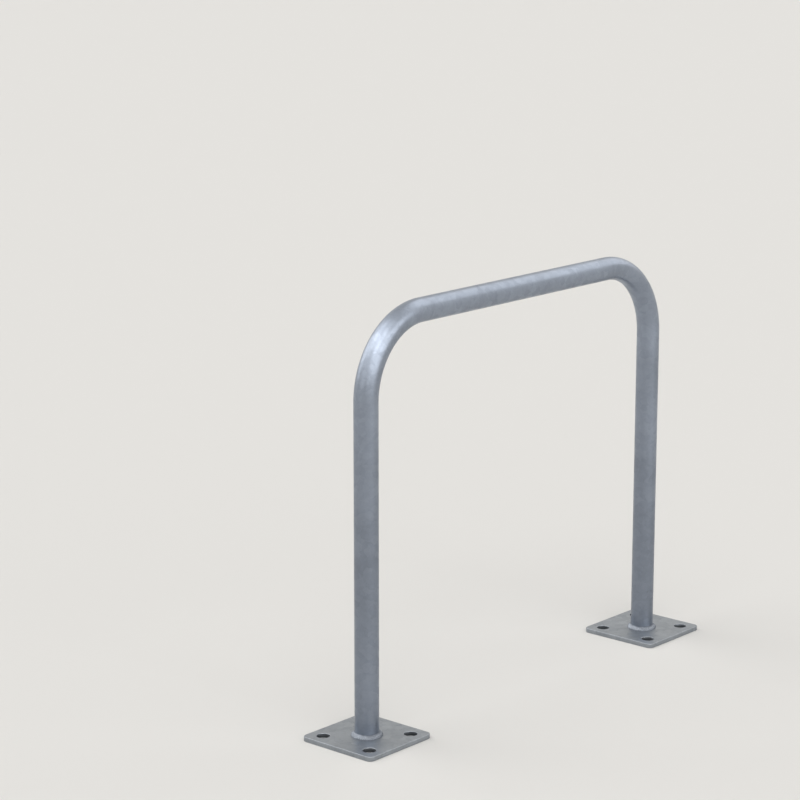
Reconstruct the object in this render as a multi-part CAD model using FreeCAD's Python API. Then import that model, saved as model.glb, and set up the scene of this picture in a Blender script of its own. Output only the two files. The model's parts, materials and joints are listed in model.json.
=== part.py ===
"""Hoop bike rack: one bent tube, welded upright on two base plates that are bolted to the ground.

The rack stands on the plane z = 0 with its hoop in the XZ plane. The origin is on the ground, midway
between the two posts. All sizes are in millimetres.
"""
import FreeCAD, Part

import math
import os

# Hoop
post_spacing = 750.0        # from one post's centre line to the other's
hoop_height = 700.0         # from the top of the plates to the top of the bar
tube_diameter = 40.0        # outside
tube_wall = 2.5
bend_radius = 130.0         # to the tube's centre line

# Base plates
plate_length = 150.0        # along the hoop
plate_width = 150.0         # across the hoop
plate_thickness = 8.0
plate_corner_radius = 10.0
plate_edge_bevel = 0.8      # on the upper and the lower rim

# Holes for the ground anchors, one near each corner of a plate
bolt_hole_diameter = 22.0
bolt_hole_bevel = 0.8       # on the upper rim
bolt_inset = 25.0           # from the plate's edges to a hole's centre

# Drain hole in the middle of a plate, inside the tube's bore
drain_clearance = 4.0       # from the hole's wall to the tube's bore

# Fillet weld round the foot of a post
weld_leg = 6.0              # on the tube and on the plate
weld_bulge = 0.9            # of the weld's crown past the straight line between its toes

# Worked out from the sizes above
tube_radius = tube_diameter / 2
bore_radius = tube_radius - tube_wall
post_foot_z = plate_thickness
bar_z = plate_thickness + hoop_height - tube_radius
post_x = {"left": -post_spacing / 2, "right": post_spacing / 2}

UP = FreeCAD.Vector(0, 0, 1)


def point(x, z):
    """Return a point in the hoop's own plane."""
    return FreeCAD.Vector(x, 0, z)


def quarter_bend(side):
    """Return the centre line of one bend, from the top of its post to the end of the bar."""
    centre_x = post_x[side] - math.copysign(bend_radius, post_x[side])
    centre_z = bar_z - bend_radius
    outward = math.copysign(bend_radius, post_x[side])
    diagonal = math.cos(math.pi / 4)
    start = point(centre_x + outward, centre_z)
    middle = point(centre_x + outward * diagonal, centre_z + bend_radius * diagonal)
    end = point(centre_x, bar_z)
    return Part.Arc(start, middle, end).toShape()


def hoop_centre_line():
    """Return the tube's centre line: post, bend, bar, bend and post, each tangent to the next."""
    bend_start_z = bar_z - bend_radius
    bar_end_x = post_spacing / 2 - bend_radius
    left_post = Part.makeLine(point(post_x["left"], post_foot_z), point(post_x["left"], bend_start_z))
    bar = Part.makeLine(point(-bar_end_x, bar_z), point(bar_end_x, bar_z))
    right_post = Part.makeLine(point(post_x["right"], bend_start_z), point(post_x["right"], post_foot_z))
    return Part.Wire([left_post, quarter_bend("left"), bar, quarter_bend("right"), right_post])


def swept_rod(radius):
    """Return a solid round rod of the given radius along the hoop's centre line."""
    foot = point(post_x["left"], post_foot_z)
    section = Part.Wire([Part.makeCircle(radius, foot, UP)])
    return hoop_centre_line().makePipeShell([section], True, False)


def make_hoop_tube():
    """Return the bent tube, hollow from foot to foot and cut square at both feet."""
    return swept_rod(tube_radius).cut(swept_rod(bore_radius))


def rounded_plate():
    """Return the plain plate, centred on the origin, with rounded corners and bevelled rims."""
    corner = FreeCAD.Vector(-plate_length / 2, -plate_width / 2, 0)
    plate = Part.makeBox(plate_length, plate_width, plate_thickness, corner)
    upright_edges = [edge for edge in plate.Edges if abs(edge.tangentAt(edge.FirstParameter).z) > 0.5]
    plate = plate.makeFillet(plate_corner_radius, upright_edges)
    rims = [edge for face in plate.Faces if abs(face.normalAt(0, 0).z) > 0.5 for edge in face.Edges]
    return plate.makeChamfer(plate_edge_bevel, rims)


def bolt_hole_cutter(x, y):
    """Return the body that cuts one bolt hole, with the bevel on its upper rim."""
    radius = bolt_hole_diameter / 2
    bore = Part.makeCylinder(radius, plate_thickness, FreeCAD.Vector(x, y, 0), UP)
    bevel_foot = FreeCAD.Vector(x, y, plate_thickness - bolt_hole_bevel)
    bevel = Part.makeCone(radius, radius + bolt_hole_bevel, bolt_hole_bevel, bevel_foot, UP)
    return bore.fuse(bevel)


def make_base_plate(side):
    """Return the base plate of one post, with its four bolt holes and its drain hole."""
    hole_x = plate_length / 2 - bolt_inset
    hole_y = plate_width / 2 - bolt_inset
    cutters = [bolt_hole_cutter(x, y) for x in (-hole_x, hole_x) for y in (-hole_y, hole_y)]
    cutters.append(Part.makeCylinder(bore_radius - drain_clearance, plate_thickness))
    plate = rounded_plate().cut(cutters)
    plate.translate(FreeCAD.Vector(post_x[side], 0, 0))
    return plate


def make_weld_bead(side):
    """Return the weld round the foot of one post, seated on the tube's wall and on the plate.

    Its section is a triangle in the corner of tube and plate, with its long side broken outwards in the
    middle, so the bead is convex.
    """
    root = point(tube_radius, post_foot_z)
    plate_toe = point(tube_radius + weld_leg, post_foot_z)
    tube_toe = point(tube_radius, post_foot_z + weld_leg)
    crown_reach = weld_leg / 2 + weld_bulge * math.cos(math.pi / 4)
    crown = point(tube_radius + crown_reach, post_foot_z + crown_reach)
    outline = Part.makePolygon([root, plate_toe, crown, tube_toe, root])
    bead = Part.Face(outline).revolve(FreeCAD.Vector(0, 0, 0), UP, 360)
    bead.translate(FreeCAD.Vector(post_x[side], 0, 0))
    return bead


def save(name, shape):
    """Check that a piece is one sound solid and write it to its own file."""
    solid = shape.Solids[0]
    if len(shape.Solids) != 1 or not solid.isValid():
        raise ValueError(name + " is not one valid solid")
    solid.exportStep("parts/" + name + ".step")
    print(name, "volume", round(solid.Volume), "mm3")


os.makedirs("parts", exist_ok=True)
save("hoop_tube", make_hoop_tube())
for side in ("left", "right"):
    save("base_plate_" + side, make_base_plate(side))
    save("weld_bead_" + side, make_weld_bead(side))
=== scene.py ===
"""Hoop bike rack: the finished surfaces, the floor, the light and the camera round the fixed CAD frame.

The rack is one steel tube, bent into a hoop and welded upright on two bolted base plates, and the whole
of it was dipped in molten zinc. Lengths are in metres, +X runs along the hoop and +Z is up.
"""

import json
import logging
import math
from dataclasses import dataclass
from enum import Enum
from typing import ClassVar

import bmesh
import bpy
import numpy as np
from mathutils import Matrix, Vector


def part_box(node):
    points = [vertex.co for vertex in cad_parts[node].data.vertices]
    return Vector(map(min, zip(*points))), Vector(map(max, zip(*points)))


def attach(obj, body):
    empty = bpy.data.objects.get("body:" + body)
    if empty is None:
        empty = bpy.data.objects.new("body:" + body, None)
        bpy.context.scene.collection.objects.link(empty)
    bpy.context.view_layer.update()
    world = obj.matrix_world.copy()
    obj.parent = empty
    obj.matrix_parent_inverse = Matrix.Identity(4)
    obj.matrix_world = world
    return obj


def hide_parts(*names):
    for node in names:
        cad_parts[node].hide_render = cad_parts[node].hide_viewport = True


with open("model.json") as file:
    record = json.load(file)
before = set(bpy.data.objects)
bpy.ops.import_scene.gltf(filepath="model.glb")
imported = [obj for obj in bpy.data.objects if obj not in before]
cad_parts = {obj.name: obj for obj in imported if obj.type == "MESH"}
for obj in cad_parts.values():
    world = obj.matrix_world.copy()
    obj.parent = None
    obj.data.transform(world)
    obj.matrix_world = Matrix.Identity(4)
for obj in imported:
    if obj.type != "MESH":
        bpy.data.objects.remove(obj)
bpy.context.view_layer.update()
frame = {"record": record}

logging.basicConfig(level=logging.INFO, format="%(message)s")
log = logging.getLogger("hoop_bike_rack")

BODY = "root"
MM_PER_METRE = 1000.0
FULL_TURN = 2 * math.pi
QUARTER_TURN = math.pi / 2
QUARTERS = range(4)


class Side(Enum):
    """One end of the hoop."""

    LEFT = "left"
    RIGHT = "right"


@dataclass(frozen=True)
class BoltPattern:
    """The bolt holes of one plate, as the record's mount gives them.

    Attributes:
        centre_x: the pattern's middle, along the hoop.
        offset: how far a hole's centre lies from the middle, along X and along Y.
        radius: a hole's radius.
    """

    centre_x: float
    offset: float
    radius: float

    @classmethod
    def of(cls, side: Side) -> "BoltPattern":
        """Read the pattern of one plate from the record.

        Args:
            side: the end of the hoop that the plate carries.

        Returns:
            The pattern, in metres.
        """
        mounts = {mount["name"]: mount for mount in frame["record"]["mounts"]}
        mount = mounts["ground_bolts_" + side.value]
        offset = mount["dims"]["spacing_x_mm"] / 2 / MM_PER_METRE
        return cls(mount["pos_m"][0], offset, mount["dims"]["hole_r_mm"] / MM_PER_METRE)


@dataclass(frozen=True)
class Patch:
    """A surface on a grid of rows and columns.

    Attributes:
        points: the grid's points, of shape (rows, columns, 3).
        ring: whether the last column joins the first.
        hoop: whether the last row joins the first.
    """

    points: np.ndarray
    ring: bool = False
    hoop: bool = False

    def quads(self, first: int) -> np.ndarray:
        """Number the grid's quads.

        Args:
            first: the number of the patch's first point in its mesh.

        Returns:
            An array of shape (quads, 4). A quad joins each point to its neighbours in the next column
            and the next row.
        """
        rows, columns = self.points.shape[:2]
        row = np.arange(rows if self.hoop else rows - 1)[:, None]
        column = np.arange(columns if self.ring else columns - 1)[None, :]
        next_row, next_column = (row + 1) % rows, (column + 1) % columns
        corners = (
            row * columns + column,
            row * columns + next_column,
            next_row * columns + next_column,
            next_row * columns + column,
        )
        return first + np.stack(np.broadcast_arrays(*corners), axis=-1).reshape(-1, 4)


def turned(points: np.ndarray, quarters: int) -> np.ndarray:
    """Turn points about the upright axis, anticlockwise.

    Args:
        points: points in the plane or in space.
        quarters: how many quarter turns, from 0 to 3.

    Returns:
        The turned points: x becomes x * cosine - y * sine, and y becomes x * sine + y * cosine.
    """
    cosine, sine = [(1, 0), (0, 1), (-1, 0), (0, -1)][quarters]
    result = points.copy()
    result[..., 0] = cosine * points[..., 0] - sine * points[..., 1]
    result[..., 1] = sine * points[..., 0] + cosine * points[..., 1]
    return result


def at_height(points: np.ndarray, height: float) -> np.ndarray:
    """Add the same height to points in the plane."""
    return np.concatenate([points, np.full((*points.shape[:-1], 1), height)], axis=-1)


def soft_wave(angle: np.ndarray, seed: int, orders: tuple[int, ...]) -> np.ndarray:
    """Sum cosines of whole orders with seeded phases and sizes, so the wave closes on itself.

    Args:
        angle: angles in radians.
        seed: the seed of the random draws.
        orders: how many times each cosine repeats in one turn.

    Returns:
        The wave at each angle, between about -1 and 1.
    """
    smallest, largest = 0.5, 1.0
    draw = np.random.default_rng(seed)
    phases = draw.uniform(0, FULL_TURN, len(orders))
    sizes = draw.uniform(smallest, largest, len(orders))
    waves = sum(size * np.cos(order * angle + phase) for size, order, phase in zip(sizes, orders, phases))
    return waves / sizes.sum()


def add_object(name: str, data: bpy.types.ID) -> bpy.types.Object:
    """Put a new object into the scene.

    Args:
        name: the object's name.
        data: its mesh, lamp or camera.

    Returns:
        The object, at the origin.
    """
    thing = bpy.data.objects.new(name, data)
    bpy.context.scene.collection.objects.link(thing)
    return thing


def build_piece(name: str, patches: list[Patch], sharp_degrees: float) -> bpy.types.Object:
    """Join patches into one closed, smooth piece.

    Args:
        name: the piece's name.
        patches: surfaces whose shared borders have the same points.
        sharp_degrees: edges that turn by more than this stay sharp.

    Returns:
        The new object, at the origin, with its place in its mesh.
    """
    merge_distance = 1e-6
    starts = np.cumsum([0] + [patch.points.shape[0] * patch.points.shape[1] for patch in patches])
    points = np.concatenate([patch.points.reshape(-1, 3) for patch in patches])
    quads = np.concatenate([patch.quads(int(start)) for patch, start in zip(patches, starts)])
    mesh = bpy.data.meshes.new(name)
    mesh.from_pydata(points.tolist(), [], quads.tolist())
    work = bmesh.new()
    work.from_mesh(mesh)
    bmesh.ops.remove_doubles(work, verts=work.verts, dist=merge_distance)
    bmesh.ops.recalc_face_normals(work, faces=work.faces)
    work.to_mesh(mesh)
    work.free()
    mesh.shade_smooth()
    mesh.set_sharp_from_angle(angle=math.radians(sharp_degrees))
    piece = add_object(name, mesh)
    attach(piece, BODY)
    return piece


def linear_colour(hex_code: str) -> tuple[float, float, float, float]:
    """Turn an sRGB hex colour into linear red, green, blue and full alpha.

    The sRGB curve is a straight line near black and a shifted power above it.

    Args:
        hex_code: six hex digits after a hash.

    Returns:
        The linear colour that Blender's sockets take.
    """
    line_end, line_slope, shift, power = 0.04045, 12.92, 0.055, 2.4
    brightest = 255
    channels = np.array([int(hex_code[start:start + 2], 16) for start in (1, 3, 5)]) / brightest
    curve = ((channels + shift) / (1 + shift)) ** power
    linear = np.where(channels <= line_end, channels / line_slope, curve)
    return (*linear.tolist(), 1.0)


def empty_tree(owner: bpy.types.Material | bpy.types.World) -> bpy.types.NodeTree:
    """Switch a material or a world to nodes.

    Args:
        owner: the material or the world.

    Returns:
        Its node tree, cleared.
    """
    owner.use_nodes = True
    owner.node_tree.nodes.clear()
    return owner.node_tree


def add_node(tree: bpy.types.NodeTree, kind: str, inputs: dict | None = None,
             **settings: object) -> bpy.types.Node:
    """Add a node, set its properties and fill its sockets.

    Args:
        tree: the node tree that gets the node.
        kind: the node's type name.
        inputs: socket name or number to a value, to another node's output, or to another node, whose
            first output is linked.
        settings: the node's own properties.

    Returns:
        The new node.
    """
    node = tree.nodes.new(kind)
    for name, value in settings.items():
        setattr(node, name, value)
    for socket, value in (inputs or {}).items():
        source = value.outputs[0] if isinstance(value, bpy.types.Node) else value
        if isinstance(source, bpy.types.NodeSocket):
            tree.links.new(source, node.inputs[socket])
        else:
            node.inputs[socket].default_value = source
    return node


@dataclass(frozen=True)
class ZincPatterns:
    """The patterns that the zinc's colour, gloss and relief share, each between about 0 and 1.

    Attributes:
        draws: three random values of each large crystal.
        crystal: the first of them.
        from_middle: the distance from a large crystal's middle.
        small_crystal: one random value of each small crystal.
        cloud: soft patches.
        grain: fine grain.
    """

    draws: bpy.types.NodeSocket
    crystal: bpy.types.NodeSocket
    from_middle: bpy.types.NodeSocket
    small_crystal: bpy.types.NodeSocket
    cloud: bpy.types.NodeSocket
    grain: bpy.types.NodeSocket


@dataclass(frozen=True)
class GalvanisedSteel:
    """Hot-dip galvanised steel: zinc crystals of slightly different grey, satin, with a faint relief.

    Attributes:
        name: the material's name.
        colour: the zinc's sRGB hex colour.
        roughness: of the satin surface.
        spangle_mm: the width of one zinc crystal.
        spangle_contrast: how much the crystals' brightness differs, up and down.
        crystal_lean: how far a crystal's face leans from the surface, as a slope.
        small_spangles: how many small crystals fit across a large one.
        cloud_mm: the width of the soft lighter and darker patches.
        cloud_contrast: how much the patches' brightness differs, up and down.
        relief_mm: the height of the slow waves in the zinc.
        grain_mm: the width of the fine grain that blurs reflections.
        grain_contrast: how much the grain's brightness differs, up and down.
        grain_relief_mm: the height of that grain.
        roughness_spread: how much the crystals, and the grain, change the roughness, up and down.
        ground_shade_loss: the share of its brightness that the zinc loses near the ground, as painted
            shade.
        ground_shade_mm: the heights between which that painted shade fades out.
    """

    name: str
    colour: str
    roughness: float
    spangle_mm: float
    spangle_contrast: float = 0.05
    crystal_lean: float = 0.035
    small_spangles: int = 3
    cloud_mm: float = 70.0
    cloud_contrast: float = 0.175
    relief_mm: float = 0.10
    grain_mm: float = 0.9
    grain_contrast: float = 0.05
    grain_relief_mm: float = 0.016
    roughness_spread: float = 0.05
    # Painted shade near the ground: the share of brightness lost low down, and the heights over which it
    # fades out
    ground_shade_loss: float = 0.0
    ground_shade_mm: tuple[float, float] = (260.0, 560.0)

    # The middle of a pattern's three values, how many finer layers each noise has, and how strongly the
    # clouds' finer layers show
    middle: ClassVar[tuple[float, float, float]] = (0.5, 0.5, 0.5)
    border_layers: ClassVar[float] = 3.0
    cloud_layers: ClassVar[float] = 3.0
    grain_layers: ClassVar[float] = 2.0
    cloud_crispness: ClassVar[float] = 0.55

    def patterns(self, tree: bpy.types.NodeTree, place: bpy.types.NodeSocket) -> ZincPatterns:
        """Lay out the zinc's crystals, clouds and grain.

        A crystal is a Voronoi cell. A noise pushes each place a little before the cells are cut, so their
        borders are crooked.

        Args:
            tree: the material's node tree.
            place: the point's coordinates.

        Returns:
            The sockets of all the patterns.
        """
        crystals_per_metre = MM_PER_METRE / self.spangle_mm
        noise = add_node(tree, "ShaderNodeTexNoise", {
            "Vector": place, "Scale": crystals_per_metre, "Detail": self.border_layers})
        push = add_node(tree, "ShaderNodeVectorMath", {
            0: noise.outputs["Color"], 1: self.middle}, operation="SUBTRACT")
        crooked = add_node(tree, "ShaderNodeVectorMath", {
            0: push, 1: (self.spangle_mm / MM_PER_METRE,) * 3, 2: place}, operation="MULTIPLY_ADD")
        large = add_node(tree, "ShaderNodeTexVoronoi", {"Vector": crooked, "Scale": crystals_per_metre})
        small = add_node(tree, "ShaderNodeTexVoronoi", {
            "Vector": crooked, "Scale": self.small_spangles * crystals_per_metre})
        crystal, small_crystal = (
            add_node(tree, "ShaderNodeSeparateColor", {0: cells.outputs["Color"]}).outputs[0]
            for cells in (large, small))
        cloud = add_node(tree, "ShaderNodeTexNoise", {
            "Vector": place, "Scale": MM_PER_METRE / self.cloud_mm, "Detail": self.cloud_layers,
            "Roughness": self.cloud_crispness})
        grain = add_node(tree, "ShaderNodeTexNoise", {
            "Vector": place, "Scale": MM_PER_METRE / self.grain_mm, "Detail": self.grain_layers})
        return ZincPatterns(
            draws=large.outputs["Color"], crystal=crystal, from_middle=large.outputs["Distance"],
            small_crystal=small_crystal, cloud=cloud.outputs[0], grain=grain.outputs[0])

    def brightness(self, tree: bpy.types.NodeTree, patterns: ZincPatterns) -> bpy.types.Node:
        """Work out how bright each place is beside the plain colour.

        Args:
            tree: the material's node tree.
            patterns: the zinc's patterns.

        Returns:
            A node with 1 plus each pattern's distance from its middle value, times its weight. A crystal
            is a little darker towards its border.
        """
        weights = {
            patterns.crystal: 2 * self.spangle_contrast,
            patterns.small_crystal: self.spangle_contrast,
            patterns.from_middle: -self.spangle_contrast,
            patterns.cloud: 2 * self.cloud_contrast,
            patterns.grain: 2 * self.grain_contrast,
        }
        tone: float | bpy.types.Node = 1 - sum(weights.values()) / 2
        for pattern, weight in weights.items():
            tone = add_node(tree, "ShaderNodeMath", {
                0: pattern, 1: weight, 2: tone}, operation="MULTIPLY_ADD")
        return tone

    def ground_shaded(self, tree: bpy.types.NodeTree, tone: bpy.types.Node, place: bpy.types.NodeSocket,
                 cloud: bpy.types.NodeSocket) -> bpy.types.Node:
        """Paint shade on the zinc near the ground: it gets darker towards the bottom.

        Args:
            tree: the material's node tree.
            tone: the brightness so far.
            place: the point's coordinates.
            cloud: the soft patches, which make the edge of the painted shade uneven.

        Returns:
            A node with the tone times a factor that falls from 1 to 1 minus the loss, going down.
        """
        low, high = (height / MM_PER_METRE for height in self.ground_shade_mm)
        fade = high - low
        height = add_node(tree, "ShaderNodeSeparateXYZ", {0: place}).outputs["Z"]
        uneven = add_node(tree, "ShaderNodeMath", {0: cloud, 1: fade, 2: height}, operation="MULTIPLY_ADD")
        unshaded = add_node(tree, "ShaderNodeMapRange", {
            "Value": uneven, "From Min": low + fade / 2, "From Max": high + fade / 2,
            "To Min": 1 - self.ground_shade_loss, "To Max": 1.0})
        return add_node(tree, "ShaderNodeMath", {0: tone, 1: unshaded}, operation="MULTIPLY")

    def gloss(self, tree: bpy.types.NodeTree, patterns: ZincPatterns) -> bpy.types.Node:
        """Work out how rough each place is.

        Args:
            tree: the material's node tree.
            patterns: the zinc's patterns.

        Returns:
            A node with the roughness. It falls along a line from dark crystals to bright ones, plus the
            grain times its weight.
        """
        crystals = add_node(tree, "ShaderNodeMapRange", {
            "Value": patterns.crystal, "To Min": self.roughness + self.roughness_spread,
            "To Max": self.roughness - self.roughness_spread})
        return add_node(tree, "ShaderNodeMath", {
            0: patterns.grain, 1: 2 * self.roughness_spread, 2: crystals}, operation="MULTIPLY_ADD")

    def relief(self, tree: bpy.types.NodeTree, patterns: ZincPatterns) -> bpy.types.Node:
        """Lean each crystal's face its own way, under the slow waves and the grain.

        Args:
            tree: the material's node tree.
            patterns: the zinc's patterns.

        Returns:
            A node with the surface's normal.
        """
        lean = add_node(tree, "ShaderNodeVectorMath", {
            0: patterns.draws, 1: self.middle}, operation="SUBTRACT")
        surface = add_node(tree, "ShaderNodeNewGeometry").outputs["Normal"]
        leaning = add_node(tree, "ShaderNodeVectorMath", {
            0: lean, 1: (2 * self.crystal_lean,) * 3, 2: surface}, operation="MULTIPLY_ADD")
        facet = add_node(tree, "ShaderNodeVectorMath", {0: leaning}, operation="NORMALIZE")
        waves = add_node(tree, "ShaderNodeBump", {
            "Height": patterns.cloud, "Strength": 1.0, "Distance": self.relief_mm / MM_PER_METRE,
            "Normal": facet})
        return add_node(tree, "ShaderNodeBump", {
            "Height": patterns.grain, "Strength": 1.0, "Distance": self.grain_relief_mm / MM_PER_METRE,
            "Normal": waves})

    def material(self) -> bpy.types.Material:
        """Build the material's nodes.

        Returns:
            A metal whose colour, roughness and relief all follow the same crystals.
        """
        material = bpy.data.materials.new(self.name)
        tree = empty_tree(material)
        place = add_node(tree, "ShaderNodeTexCoord").outputs["Object"]
        patterns = self.patterns(tree, place)
        tone = self.brightness(tree, patterns)
        # Painted shade: darken the zinc towards the ground
        if self.ground_shade_loss:
            tone = self.ground_shaded(tree, tone, place, patterns.cloud)
        colour = add_node(tree, "ShaderNodeVectorMath", {
            0: linear_colour(self.colour)[:3], "Scale": tone}, operation="SCALE")
        shader = add_node(tree, "ShaderNodeBsdfPrincipled", {
            "Base Color": colour, "Metallic": 1.0, "Roughness": self.gloss(tree, patterns),
            "Normal": self.relief(tree, patterns)})
        add_node(tree, "ShaderNodeOutputMaterial", {"Surface": shader})
        return material


# Smooth drawn tube, dipped in zinc. The eye gets long satin highlights in a cool grey with faint crystals,
# and painted shade that darkens it near the ground
TUBE_ZINC = GalvanisedSteel(
    "hot-dip galvanised steel tube", colour="#9098A5", roughness=0.32, spangle_mm=11.0, crystal_lean=0.012,
    ground_shade_loss=0.18)

# Rolled plate, dipped in zinc. It is rougher, so the eye gets an even grey on which the crystals stand out
PLATE_ZINC = GalvanisedSteel(
    "hot-dip galvanised steel plate", colour="#94999F", roughness=0.38, spangle_mm=13.0,
    spangle_contrast=0.07)

# Weld metal, dipped in zinc. It is the roughest and darkest, so the eye gets its ripples and no glints
WELD_ZINC = GalvanisedSteel(
    "hot-dip galvanised weld metal", colour="#7D828A", roughness=0.46, spangle_mm=6.0)


@dataclass
class HoopTube:
    """The bent tube: two posts, two quarter bends and the bar, hollow from foot to foot.

    Attributes:
        bend_radius: from a bend's centre to the tube's centre line.
        wall: the tube's wall.
        flattening: the share of its width that the tube loses in the middle of a bend.
        columns: points round the tube.
        run_step: the distance between rings on a straight run.
        bend_rings: rings in one bend.
    """

    bend_radius: float = 0.130
    wall: float = 0.0025
    flattening: float = 0.015
    columns: int = 96
    run_step: float = 0.010
    bend_rings: int = 72

    def __post_init__(self) -> None:
        """Read the tube's place and width from the CAD node."""
        low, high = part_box("hoop_tube")
        self.radius = (high[1] - low[1]) / 2
        self.post_x = high[0] - self.radius
        self.foot_z = low[2]
        self.bar_z = high[2] - self.radius

    def centre_line(self) -> tuple[np.ndarray, np.ndarray, np.ndarray]:
        """Follow the tube from its left foot to its right foot.

        Returns:
            The points of the centre line, the outward normals in the hoop's plane, and how far into a
            bend each point lies, from 0 at its ends to 1 in its middle. A post is a vertical line, a bend
            is a quarter circle about its centre, and the bar is a level line.
        """
        bend_z = self.bar_z - self.bend_radius
        bend_x = self.post_x - self.bend_radius
        post_z = np.linspace(self.foot_z, bend_z, round((bend_z - self.foot_z) / self.run_step))
        bar_x = np.linspace(-bend_x, bend_x, round(2 * bend_x / self.run_step))
        turn = np.linspace(0, QUARTER_TURN, self.bend_rings)[1:-1]

        def stretch(*values: np.ndarray | float) -> np.ndarray:
            """Set a stretch's x and z, its normal's x and z, and its bending side by side."""
            return np.stack(np.broadcast_arrays(*values), axis=-1)

        left_post = stretch(-self.post_x, post_z, -1.0, 0.0, 0.0)
        left_bend = stretch(
            -bend_x - self.bend_radius * np.cos(turn), bend_z + self.bend_radius * np.sin(turn),
            -np.cos(turn), np.sin(turn), np.sin(2 * turn) ** 2)
        bar = stretch(bar_x, self.bar_z, 0.0, 1.0, 0.0)
        mirror = np.array([-1.0, 1.0, -1.0, 1.0, 1.0])
        right_bend, right_post = left_bend[::-1] * mirror, left_post[::-1] * mirror
        line = np.concatenate([left_post, left_bend, bar, right_bend, right_post])
        x, z, normal_x, normal_z, bent = line.T
        y = np.zeros(len(line))
        return np.stack([x, y, z], axis=-1), np.stack([normal_x, y, normal_z], axis=-1), bent

    def wall_grid(self, radius: float) -> np.ndarray:
        """Carry a circle along the centre line.

        Args:
            radius: the circle's radius.

        Returns:
            Rings of points. A point lies radius * cos(angle) along the outward normal and
            radius * sin(angle) across the hoop from the centre line. In a bend the circle is a little
            narrower along the normal and wider across.
        """
        points, normals, bent = self.centre_line()
        angle = np.linspace(0, FULL_TURN, self.columns, endpoint=False)
        across = np.array([0.0, 1.0, 0.0])
        narrower = 1 - self.flattening * bent[:, None, None]
        wider = 2 - narrower
        outward = normals[:, None, :] * np.cos(angle)[None, :, None] * narrower
        sideways = across[None, None, :] * np.sin(angle)[None, :, None] * wider
        return points[:, None, :] + radius * (outward + sideways)

    def build(self, finish: bpy.types.Material) -> bpy.types.Object:
        """Make the tube as one closed shell and put it in the place of its CAD node.

        Args:
            finish: the material of the tube.

        Returns:
            The tube, whose outer and inner walls meet in a flat ring at each foot.
        """
        outer, inner = self.wall_grid(self.radius), self.wall_grid(self.radius - self.wall)
        shell = np.concatenate([outer, inner[::-1]])
        piece = build_piece("hoop", [Patch(shell, ring=True, hoop=True)], sharp_degrees=60)
        piece.data.materials.append(finish)
        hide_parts("hoop_tube")
        return piece


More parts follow.
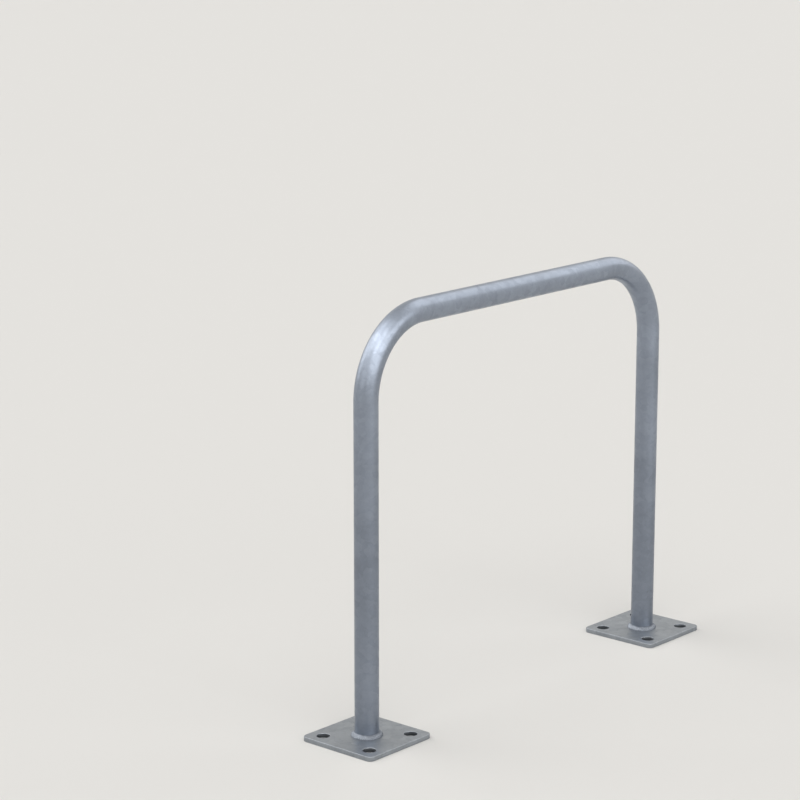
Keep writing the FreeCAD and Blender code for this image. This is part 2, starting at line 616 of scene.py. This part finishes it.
@dataclass
class BasePlate:
    """A square plate with rounded corners, four bolt holes and a drain hole under the tube.

    The plate is three by three cells. A corner cell holds a bolt hole, the middle cell the drain hole, and
    the four others are plain. Each is worked out at +X and turned into its place.

    Attributes:
        side: the end of the hoop that it carries.
        corner_radius: of the plate's outline.
        rim_radius: the rounding of its rims, cut steel softened by the zinc.
        drain_radius: of the drain hole.
        side_steps: points along a whole side of a cell.
        last_step: the place of the last point but one on a cell's side, as a share of the side.
        arc_steps: points along a rounded corner.
        rim_steps: points along a rounded rim.
        spokes: the places of the points from a hole's rim to its cell's border, as shares of the way.
    """

    side: Side
    corner_radius: float = 0.010
    rim_radius: float = 0.0009
    drain_radius: float = 0.0135
    side_steps: int = 16
    last_step: float = 0.97
    arc_steps: int = 8
    rim_steps: int = 5
    spokes: tuple[float, ...] = (0.0, 0.03, 0.15, 0.35, 0.55, 0.75, 0.9, 0.97, 1.0)

    def __post_init__(self) -> None:
        """Read the plate's place and size from the CAD node, and its bolt holes from their mount."""
        self.node = "base_plate_" + self.side.value
        low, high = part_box(self.node)
        self.centre = np.array([(low[0] + high[0]) / 2, (low[1] + high[1]) / 2, 0.0])
        self.half = (high[0] - low[0]) / 2
        self.top = high[2]
        self.bolts = BoltPattern.of(self.side)
        self.cell_edge = 2 * self.bolts.offset - self.half

    def inward_steps(self, inset: float) -> np.ndarray:
        """Space points from a cell's inner edge to the plate's border, with a close last pair."""
        shares = np.append(np.linspace(0.0, self.last_step, self.side_steps), 1.0)
        return self.cell_edge + (self.half - inset - self.cell_edge) * shares

    def outer_border(self, inset: float) -> np.ndarray:
        """Walk along the plate's border round the corner at +X +Y, anticlockwise.

        Args:
            inset: how far the border is pulled in.

        Returns:
            Points in the plane: a straight line, the corner's arc about its centre, a straight line.
        """
        far, arc_centre = self.half - inset, self.half - self.corner_radius
        straight = np.linspace(self.cell_edge, arc_centre, self.side_steps - self.arc_steps // 2 + 1)
        turn = np.linspace(0, QUARTER_TURN, self.arc_steps + 1)
        right = np.stack([np.full_like(straight, far), straight], axis=-1)
        arc = arc_centre + (self.corner_radius - inset) * np.stack([np.cos(turn), np.sin(turn)], axis=-1)
        return np.concatenate([right, arc[1:-1], right[::-1, ::-1]])

    def corner_border(self, inset: float) -> np.ndarray:
        """Walk round the whole corner cell at +X +Y, anticlockwise.

        Args:
            inset: how far the plate's border is pulled in.

        Returns:
            Points in the plane: the cell's outer border, then its two straight inner sides.
        """
        inward = self.inward_steps(inset)
        inner_side = np.stack([np.full_like(inward, self.cell_edge), inward], axis=-1)
        return np.concatenate([self.outer_border(inset), inner_side[-2:0:-1], inner_side[:-1, ::-1]])

    def middle_border(self) -> np.ndarray:
        """Walk round the square middle cell, anticlockwise.

        Returns:
            Points in the plane: a straight line at +X, turned onto all four sides.
        """
        edge = self.cell_edge
        along = np.linspace(-edge, edge, self.side_steps, endpoint=False)
        right = np.stack([np.full_like(along, edge), along], axis=-1)
        return np.concatenate([turned(right, quarter) for quarter in QUARTERS])

    def hole_ring(self, border: np.ndarray, centre: float, radius: float) -> np.ndarray:
        """Put one point of a circle on the line from its centre to each point of a cell's border."""
        spokes = border - centre
        return centre + radius * spokes / np.linalg.norm(spokes, axis=-1, keepdims=True)

    def holed_cell(self, border: np.ndarray, centre: float, radius: float) -> list[Patch]:
        """Make the two faces of a cell round a hole, and the hole's wall.

        Args:
            border: the points round the cell.
            centre: the hole's place, the same along both axes.
            radius: the hole's radius.

        Returns:
            The upper face, the lower face and the wall. A face runs in straight spokes from the hole's rim
            to the border, and the wall is the rim's profile carried round the hole.
        """
        share = np.array(self.spokes)[:, None, None]
        rim = self.hole_ring(border, centre, radius + self.rim_radius)
        face = rim + share * (border - rim)
        faces = [Patch(at_height(face, height), ring=True) for height in (self.top, 0.0)]
        inset, height = self.rim_profile()
        wall = np.stack([self.hole_ring(border, centre, radius + step) for step in inset])
        heights = np.broadcast_to(height[:, None], wall.shape[:2])
        return [*faces, Patch(np.dstack([wall, heights]), ring=True)]

    def rim_profile(self) -> tuple[np.ndarray, np.ndarray]:
        """Follow a rim from the upper face to the lower one.

        Returns:
            How far each point is pulled in from the upright wall, and its height: a quarter circle, a
            straight wall and a quarter circle.
        """
        turn = np.linspace(0, QUARTER_TURN, self.rim_steps)
        inset = self.rim_radius * (1 - np.sin(turn))
        drop = self.rim_radius * (1 - np.cos(turn))
        return np.concatenate([inset, inset[::-1]]), np.concatenate([self.top - drop, drop[::-1]])

    def outer_wall(self) -> Patch:
        """Carry the rim's profile along the plate's whole border.

        Returns:
            The wall, a row for each point of the profile. A row is a quarter of the border, a corner cell's
            outer border and a plain cell's side, turned onto all four quarters.
        """
        inset, height = self.rim_profile()
        side = np.linspace(self.cell_edge, -self.cell_edge, self.side_steps + 1)[1:-1]
        rows = []
        for step, level in zip(inset, height):
            plain_side = np.stack([side, np.full_like(side, self.half - step)], axis=-1)
            quarter = np.concatenate([self.outer_border(step), plain_side])
            outline = np.concatenate([turned(quarter, count) for count in QUARTERS])
            rows.append(at_height(outline, level))
        return Patch(np.stack(rows), ring=True)

    def patches(self) -> list[Patch]:
        """Make all the plate's surfaces about its own centre.

        Returns:
            The corner and plain cells on all four sides, the middle cell and the outer wall.
        """
        corner = self.holed_cell(self.corner_border(self.rim_radius), self.bolts.offset, self.bolts.radius)
        middle = self.holed_cell(self.middle_border(), 0.0, self.drain_radius)
        across = np.linspace(-self.cell_edge, self.cell_edge, self.side_steps + 1)
        plain_x, plain_y = np.meshgrid(self.inward_steps(self.rim_radius), across, indexing="ij")
        plain = np.stack([plain_x, plain_y], axis=-1)
        repeated = [*corner, *(Patch(at_height(plain, height)) for height in (self.top, 0.0))]
        quarters = [
            Patch(turned(patch.points, count), ring=patch.ring) for patch in repeated for count in QUARTERS]
        return [*quarters, *middle, self.outer_wall()]

    def build(self, finish: bpy.types.Material) -> bpy.types.Object:
        """Make the plate and put it in the place of its CAD node.

        Args:
            finish: the material of the plate.

        Returns:
            The plate, closed all round and through its five holes.
        """
        patches = [Patch(patch.points + self.centre, ring=patch.ring) for patch in self.patches()]
        piece = build_piece("plate_" + self.side.value, patches, sharp_degrees=50)
        piece.data.materials.append(finish)
        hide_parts(self.node)
        return piece


@dataclass(frozen=True)
class WeldRun:
    """One pass of the weld round a post.

    Attributes:
        start: the angle where the pass starts and ends, in radians from +X.
        seed: the seed of its unevenness.
    """

    start: float
    seed: int


WELD_RUNS = {Side.LEFT: WeldRun(start=2.4, seed=11), Side.RIGHT: WeldRun(start=3.6, seed=23)}


@dataclass
class WeldBead:
    """The fillet weld round the foot of a post, laid in overlapping ripples.

    Attributes:
        side: the end of the hoop that it holds.
        bulge: how far the bead's crown stands out past the straight line between its toes.
        sunk: how deep its hidden back lies in the tube and the plate.
        ripples: the number of ripples round the post.
        ripple_height: of one ripple over the next.
        ripple_bow: how far a ripple's middle runs ahead of its ends, in ripples.
        ripple_drift: how far the ripples wander from even spacing, in ripples.
        ripple_fade: the power of the crown by which ripples flatten towards the toes.
        scallop: how far each ripple pushes the toes out.
        toe_wander: how much the bead's toes wander.
        lump_height: of the lump where the pass starts and ends.
        lump_width: of that lump, as an angle.
        crater_share: the depth of the crater beside the lump, as a share of the lump's height.
        crater_place: the angle from the lump to the crater.
        crater_width: of that crater, as an angle.
        columns: points round the post.
        rows: points from toe to toe.
    """

    side: Side
    bulge: float = 0.0009
    sunk: float = 0.0005
    ripples: int = 46
    ripple_height: float = 0.00045
    ripple_bow: float = 0.9
    ripple_drift: float = 0.35
    ripple_fade: float = 0.4
    scallop: float = 0.00025
    toe_wander: float = 0.0005
    lump_height: float = 0.0006
    lump_width: float = 0.13
    crater_share: float = 0.9
    crater_place: float = 0.20
    crater_width: float = 0.07
    columns: int = 552
    rows: int = 25

    # How many times the waves of the two toes and of the ripples' spacing repeat round the post
    plate_toe_orders: ClassVar[tuple[int, ...]] = (2, 3, 5, 9, 14)
    tube_toe_orders: ClassVar[tuple[int, ...]] = (2, 4, 7, 11, 16)
    drift_orders: ClassVar[tuple[int, ...]] = (1, 3, 4, 6)

    def __post_init__(self) -> None:
        """Read the bead's place and size from the CAD node and the tube's width."""
        self.node = "weld_bead_" + self.side.value
        low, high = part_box(self.node)
        tube_low, tube_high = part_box("hoop_tube")
        self.centre_x = (low[0] + high[0]) / 2
        self.foot_z = low[2]
        self.leg = high[2] - low[2]
        self.tube_radius = (tube_high[1] - tube_low[1]) / 2
        self.run = WELD_RUNS[self.side]

    def stop_lump(self, angle: np.ndarray) -> np.ndarray:
        """Shape the place where the pass starts and ends.

        Args:
            angle: angles round the post, in radians from +X.

        Returns:
            The height at each angle: a bell curve up, for the lump, and one down beside it, for the crater.
        """
        off_start = (angle - self.run.start + math.pi) % FULL_TURN - math.pi
        lump = np.exp(-(off_start / self.lump_width) ** 2)
        crater = np.exp(-((off_start - self.crater_place) / self.crater_width) ** 2)
        return self.lump_height * (lump - self.crater_share * crater)

    def face(self) -> tuple[np.ndarray, np.ndarray, np.ndarray]:
        """Work out the bead's visible face.

        Returns:
            The angle round the post, and the distance from the tube's wall and the height over the plate,
            both of shape (rows, columns). The face is the straight line between the toes, pushed outwards
            by a parabola, by the ripples and by a lump where the pass starts and ends. A ripple rises
            quickly and falls slowly along the pass, and its line is bowed like a crescent.
        """
        seed = self.run.seed
        angle = np.linspace(0, FULL_TURN, self.columns, endpoint=False)
        across = np.linspace(0, 1, self.rows)[:, None]
        plate_toe = self.leg + self.toe_wander * soft_wave(angle, seed, self.plate_toe_orders)
        tube_toe = self.leg + self.toe_wander * soft_wave(angle, seed + 1, self.tube_toe_orders)
        drift = self.ripple_drift * soft_wave(angle, seed + 2, self.drift_orders)
        crown = 4 * across * (1 - across)
        phase = (self.ripples * angle / FULL_TURN + drift + self.ripple_bow * crown) % 1.0
        swell = np.sin(math.pi * np.sqrt(phase))
        ripple = self.ripple_height * swell * crown ** self.ripple_fade
        diagonal = math.cos(QUARTER_TURN / 2)
        push = (self.bulge * crown + ripple + self.stop_lump(angle) * crown) * diagonal
        outward = (plate_toe + self.scallop * swell) * (1 - across) + push
        upward = (tube_toe + self.scallop * swell) * across + push
        return angle, outward, upward

    def build(self, finish: bpy.types.Material) -> bpy.types.Object:
        """Make the bead and put it in the place of its CAD node.

        Args:
            finish: the material of the weld.

        Returns:
            The bead, a closed ring whose back lies just inside the tube's wall and the plate.
        """
        angle, outward, upward = self.face()
        inside = np.full(self.columns, -self.sunk)
        distance = self.tube_radius + np.concatenate([outward, [inside, inside, outward[0]]])
        height = self.foot_z + np.concatenate([upward, [upward[-1], inside, inside]])
        points = np.stack([
            self.centre_x + distance * np.cos(angle), distance * np.sin(angle), height], axis=-1)
        ring = Patch(points, ring=True, hoop=True)
        piece = build_piece("weld_" + self.side.value, [ring], sharp_degrees=70)
        piece.data.materials.append(finish)
        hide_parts(self.node)
        return piece


@dataclass(frozen=True)
class SoftPanel:
    """A round panel of even light, very far away.

    Attributes:
        name: the lamp's name.
        towards: the direction from the rack to the panel.
        width_degrees: how wide it looks from the rack.
        brightness: of the panel itself, where 1 is that of a sheet of white paper in full light.
    """

    name: str
    towards: tuple[float, float, float]
    width_degrees: float
    brightness: float

    def build(self) -> None:
        """Add the lamp. Its strength is brightness * pi * the squared sine of half its width."""
        half_width = math.radians(self.width_degrees / 2)
        lamp = bpy.data.lights.new(self.name, "SUN")
        lamp.energy = self.brightness * math.pi * math.sin(half_width) ** 2
        lamp.angle = 2 * half_width
        x, y, z = np.array(self.towards) / np.linalg.norm(self.towards)
        add_object(self.name, lamp).rotation_euler = (0.0, math.acos(z), math.atan2(y, x))


@dataclass(frozen=True)
class Studio:
    """The plain pale floor and backdrop, and the soft light.

    The two overhead panels make the bright top of the bar and the broad shine of the left bend. The
    others light the posts from all sides, a little more from the front.

    Attributes:
        floor_colour: the floor's sRGB hex colour.
        backdrop_colour: the backdrop's sRGB hex colour.
        hole_shade_colour: the sRGB hex colour of the painted shade under the bolt holes, flat dark discs on
        the floor that stand for drilled anchor holes.
        floor_size: the length of the floor's side.
        floor_gap: how far the floor lies below the plates, a hair, so their undersides stay lit from below.
        short_ray: rays shorter than this, as from a plate's underside, pass through the floor.
        room_light: the brightness of the light from all round that falls on matt surfaces.
        panels: the soft panels.
    """

    floor_colour: str = "#E2E0DC"
    backdrop_colour: str = "#E2E0DC"
    # Near-black painted shade: flat discs on the floor stand in for the dark inside of drilled anchor holes
    hole_shade_colour: str = "#202020"
    floor_size: float = 120.0
    floor_gap: float = 0.0001
    short_ray: float = 0.001
    room_light: float = 0.07
    panels: tuple[SoftPanel, ...] = (
        SoftPanel("overhead_back_panel", (-0.35, 0.37, 0.86), width_degrees=38.0, brightness=2.25),
        SoftPanel("overhead_front_panel", (-0.40, -0.30, 0.86), width_degrees=38.0, brightness=2.1),
        SoftPanel("left_panel", (-0.80, 0.13, 0.59), width_degrees=60.0, brightness=0.55),
        SoftPanel("front_left_panel", (-0.43, -0.70, 0.57), width_degrees=52.0, brightness=1.4),
        SoftPanel("front_panel", (0.13, -0.93, 0.35), width_degrees=48.0, brightness=1.5),
        SoftPanel("right_panel", (0.76, -0.07, 0.64), width_degrees=54.0, brightness=0.95),
        SoftPanel("back_panel", (-0.19, 0.86, 0.48), width_degrees=48.0, brightness=1.55),
    )

    def painted_hole_shade(self, tree: bpy.types.NodeTree) -> bpy.types.Node:
        """Mark the dark discs of painted shade on the flat floor under the plates' bolt holes, where
        anchors would be drilled.

        Args:
            tree: the floor's node tree.

        Returns:
            A node that is 1 in a disc and 0 elsewhere. The floor is folded along X and Y, onto one post,
            and again, onto one quarter of its plate, so one distance finds all eight discs.
        """
        bolts = BoltPattern.of(Side.RIGHT)
        place = add_node(tree, "ShaderNodeTexCoord").outputs["Object"]
        for centre in ((bolts.centre_x, 0.0, 0.0), (bolts.offset, bolts.offset, 0.0)):
            folded = add_node(tree, "ShaderNodeVectorMath", {0: place}, operation="ABSOLUTE")
            place = add_node(tree, "ShaderNodeVectorMath", {0: folded, 1: centre}, operation="SUBTRACT")
        distance = add_node(tree, "ShaderNodeVectorMath", {0: place}, operation="LENGTH").outputs["Value"]
        return add_node(tree, "ShaderNodeMath", {0: distance, 1: bolts.radius}, operation="LESS_THAN")

    def floor_material(self) -> bpy.types.Material:
        """Build the floor's nodes.

        Returns:
            A matt material with near-black discs of painted shade under the bolt holes, where anchor holes
            would be. It lets the eye through from below, and light to the plates' undersides.
        """
        material = bpy.data.materials.new("matt pale floor")
        tree = empty_tree(material)
        # The floor's colour, with discs of painted shade under the bolt holes
        ground = add_node(tree, "ShaderNodeMix", {
            "Factor": self.painted_hole_shade(tree), "A": linear_colour(self.floor_colour),
            "B": linear_colour(self.hole_shade_colour)}, data_type="RGBA")
        matt = add_node(tree, "ShaderNodeBsdfDiffuse", {"Color": ground.outputs["Result"]})
        clear = add_node(tree, "ShaderNodeBsdfTransparent")
        below = add_node(tree, "ShaderNodeNewGeometry").outputs["Backfacing"]
        length = add_node(tree, "ShaderNodeLightPath").outputs["Ray Length"]
        short = add_node(tree, "ShaderNodeMath", {0: length, 1: self.short_ray}, operation="LESS_THAN")
        passed = add_node(tree, "ShaderNodeMath", {0: below, 1: short}, operation="MAXIMUM")
        surface = add_node(tree, "ShaderNodeMixShader", {0: passed, 1: matt, 2: clear})
        add_node(tree, "ShaderNodeOutputMaterial", {"Surface": surface})
        return material

    def build_floor(self) -> None:
        """Lay the floor under the plates."""
        half = self.floor_size / 2
        corners = np.array([(-half, -half), (half, -half), (half, half), (-half, half)])
        mesh = bpy.data.meshes.new("floor")
        mesh.from_pydata(at_height(corners, -self.floor_gap).tolist(), [], [(0, 1, 2, 3)])
        mesh.materials.append(self.floor_material())
        add_object("floor", mesh)

    def build_world(self) -> None:
        """Light the scene from all round, behind a plain pale backdrop that the metal reflects too."""
        world = bpy.data.worlds.new("soft room")
        bpy.context.scene.world = world
        tree = empty_tree(world)
        ray = add_node(tree, "ShaderNodeLightPath").outputs
        looked_at = add_node(tree, "ShaderNodeMath", {
            0: ray["Is Camera Ray"], 1: ray["Is Glossy Ray"]}, operation="MAXIMUM")
        looked_through = add_node(tree, "ShaderNodeMath", {
            0: looked_at, 1: ray["Is Transmission Ray"]}, operation="MAXIMUM")
        room = add_node(tree, "ShaderNodeBackground", {"Strength": self.room_light})
        backdrop = add_node(tree, "ShaderNodeBackground", {"Color": linear_colour(self.backdrop_colour)})
        surroundings = add_node(tree, "ShaderNodeMixShader", {0: looked_through, 1: room, 2: backdrop})
        add_node(tree, "ShaderNodeOutputWorld", {"Surface": surroundings})

    def build(self) -> None:
        """Make the floor, the backdrop and the panels."""
        self.build_floor()
        self.build_world()
        for panel in self.panels:
            panel.build()
        bpy.context.scene.view_settings.view_transform = "Standard"


@dataclass(frozen=True)
class PhotographCamera:
    """The camera at the photograph's place and angle.

    The photograph fills the middle half of its frame, inside a white border. The picture here is the
    photograph without that border, so its focal length in pixels is twice the one in the frame.

    Attributes:
        place: where the camera stands.
        pitch_degrees: how far it looks down.
        yaw_degrees: how far it is turned from +Y towards +X.
        focal_pixels: the focal length in pixels of the photograph's frame.
        frame_pixels: the frame's width.
        border_crop: how many times the photograph is enlarged to fill the frame.
        sensor_mm: the width of the camera's sensor.
    """

    place: tuple[float, float, float] = (-3.342, -2.673, 1.487)
    pitch_degrees: float = 13.03
    yaw_degrees: float = 48.75
    focal_pixels: float = 1307.0
    frame_pixels: float = 800.0
    border_crop: float = 2.0
    sensor_mm: float = 36.0

    def build(self) -> None:
        """Make the camera and hand it to the scene. A camera that isn't tilted looks straight down."""
        camera = bpy.data.cameras.new("photograph_camera")
        camera.sensor_width = self.sensor_mm
        camera.lens = camera.sensor_width * self.focal_pixels * self.border_crop / self.frame_pixels
        holder = add_object("photograph_camera", camera)
        holder.location = self.place
        tilt = QUARTER_TURN - math.radians(self.pitch_degrees)
        holder.rotation_euler = (tilt, 0.0, -math.radians(self.yaw_degrees))
        bpy.context.scene.camera = holder


def report(piece: bpy.types.Object) -> None:
    """Log a finished piece's name and how many faces it has."""
    log.info("%s: %d faces", piece.name, len(piece.data.polygons))


def main() -> None:
    """Build the rack's finished pieces, then the studio and the camera."""
    tube_zinc, plate_zinc, weld_zinc = TUBE_ZINC.material(), PLATE_ZINC.material(), WELD_ZINC.material()
    report(HoopTube().build(tube_zinc))
    for side in Side:
        report(BasePlate(side).build(plate_zinc))
        report(WeldBead(side).build(weld_zinc))
    Studio().build()
    PhotographCamera().build()


if __name__ == "__main__":
    main()
